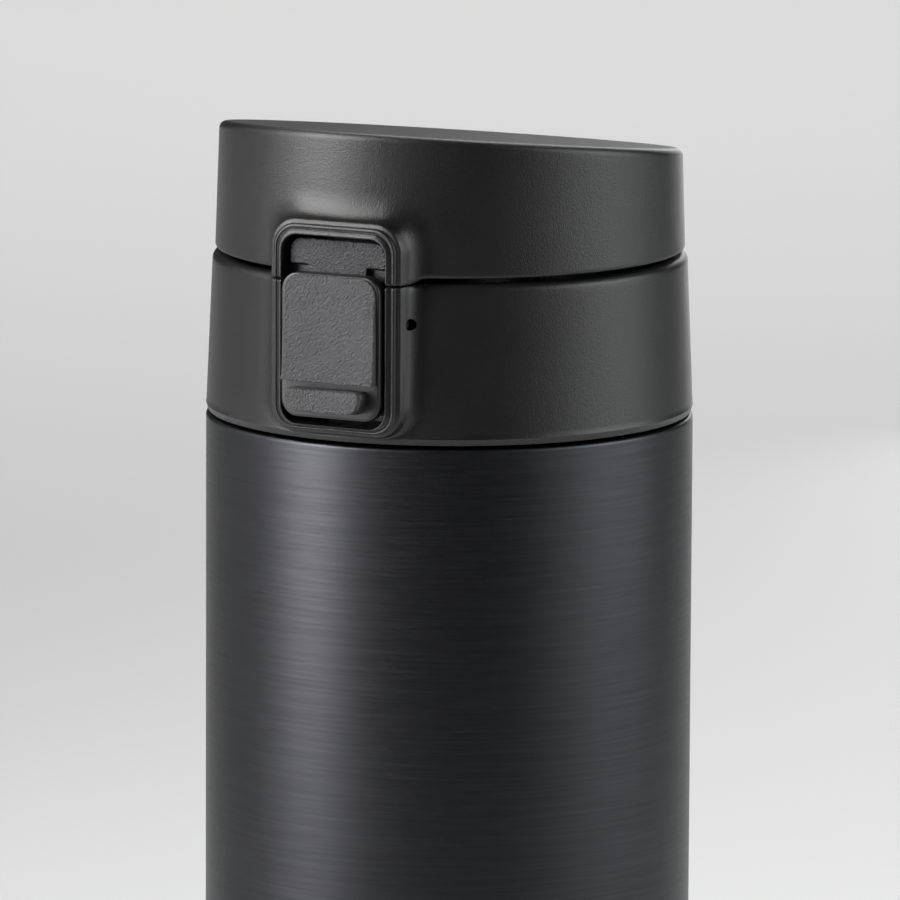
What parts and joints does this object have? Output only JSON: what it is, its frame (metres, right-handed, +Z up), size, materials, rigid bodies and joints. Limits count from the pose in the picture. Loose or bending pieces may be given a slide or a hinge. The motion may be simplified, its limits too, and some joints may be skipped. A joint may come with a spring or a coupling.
{
  "type": "vacuum flask",
  "caption": "Slim double-walled steel drinking flask with a screw-on cap, a hinged flip lid over the mouthpiece, and a push latch with a sliding lock.",
  "frame": {"origin": "centre of the foot pad's underside, on the surface the flask stands on", "axes": "+Z up along the flask's axis, -Y to the front where the latch is, +Y to the lid hinge, +X to the right of the latch seen from the back"},
  "size_m": [0.0662, 0.0736, 0.2195],
  "materials": {
    "brushed_shell": "black coated brushed steel, satin, fine circumferential lines",
    "bare_steel": "bare stainless steel, satin",
    "foil": "thin rolled foil",
    "getter_metal": "sintered",
    "seal_bead": "solder bead",
    "cap_plastic": "fine moulded grain, matte",
    "lid_plastic": "fine moulded grain, satin",
    "push_plastic": "coarse leather-like moulded grain",
    "inner_plastic": "smooth moulded, semi-matte",
    "silicone": "translucent grey silicone",
    "foot_rubber": "soft matte",
    "pin_steel": "ground steel"
  },
  "bodies": {
    "bottle": {"outer_shell": "brushed_shell", "inner_vessel": "bare_steel", "base_plate": "bare_steel", "vacuum_seal": "seal_bead", "radiation_foil": "foil", "getter": "getter_metal", "foot_pad": "foot_rubber"},
    "neck_seal": {"neck_gasket": "silicone"},
    "cap": {"collar": "cap_plastic", "cap_core": "inner_plastic", "spout": "inner_plastic", "spout_gasket": "silicone", "hinge_pin": "pin_steel", "lid_spring": "pin_steel", "latch_pin": "pin_steel", "latch_spring": "pin_steel"},
    "lid": {"lid_shell": "lid_plastic", "lid_liner": "inner_plastic", "lid_gasket": "silicone"},
    "latch": {"latch_lever": "push_plastic"},
    "lock": {"lock_slider": "push_plastic", "slider_clip": "pin_steel"}
  },
  "joints": [
    {"name": "cap_lift", "type": "slide", "parent": "bottle", "child": "neck_seal", "axis": [0, 0, 1], "range_m": [0, 0.018]},
    {"name": "cap_turn", "type": "hinge", "parent": "neck_seal", "child": "cap", "pos_m": [0, 0, 0.178], "axis": [0, 0, 1], "range_deg": [0, 1080]},
    {"name": "lid_hinge", "type": "hinge", "parent": "cap", "child": "lid", "pos_m": [0, 0.0334, 0.2004], "axis": [-1, 0, 0], "range_deg": [0, 165], "deforming": ["lid_spring"]},
    {"name": "latch_rock", "type": "hinge", "parent": "cap", "child": "latch", "pos_m": [0, -0.0317, 0.1946], "axis": [1, 0, 0], "range_deg": [0, 10], "stiffness_Nm_per_rad": 0.35, "springref_deg": -5.73, "deforming": ["latch_spring"]},
    {"name": "lock_slide", "type": "slide", "parent": "latch", "child": "lock", "axis": [0, 0, 1], "range_m": [0, 0.0033]}
  ],
  "couplings": [
    {"joint": "cap_lift", "follows": "cap_turn", "m_per_rad": 0.00095493}
  ]
}
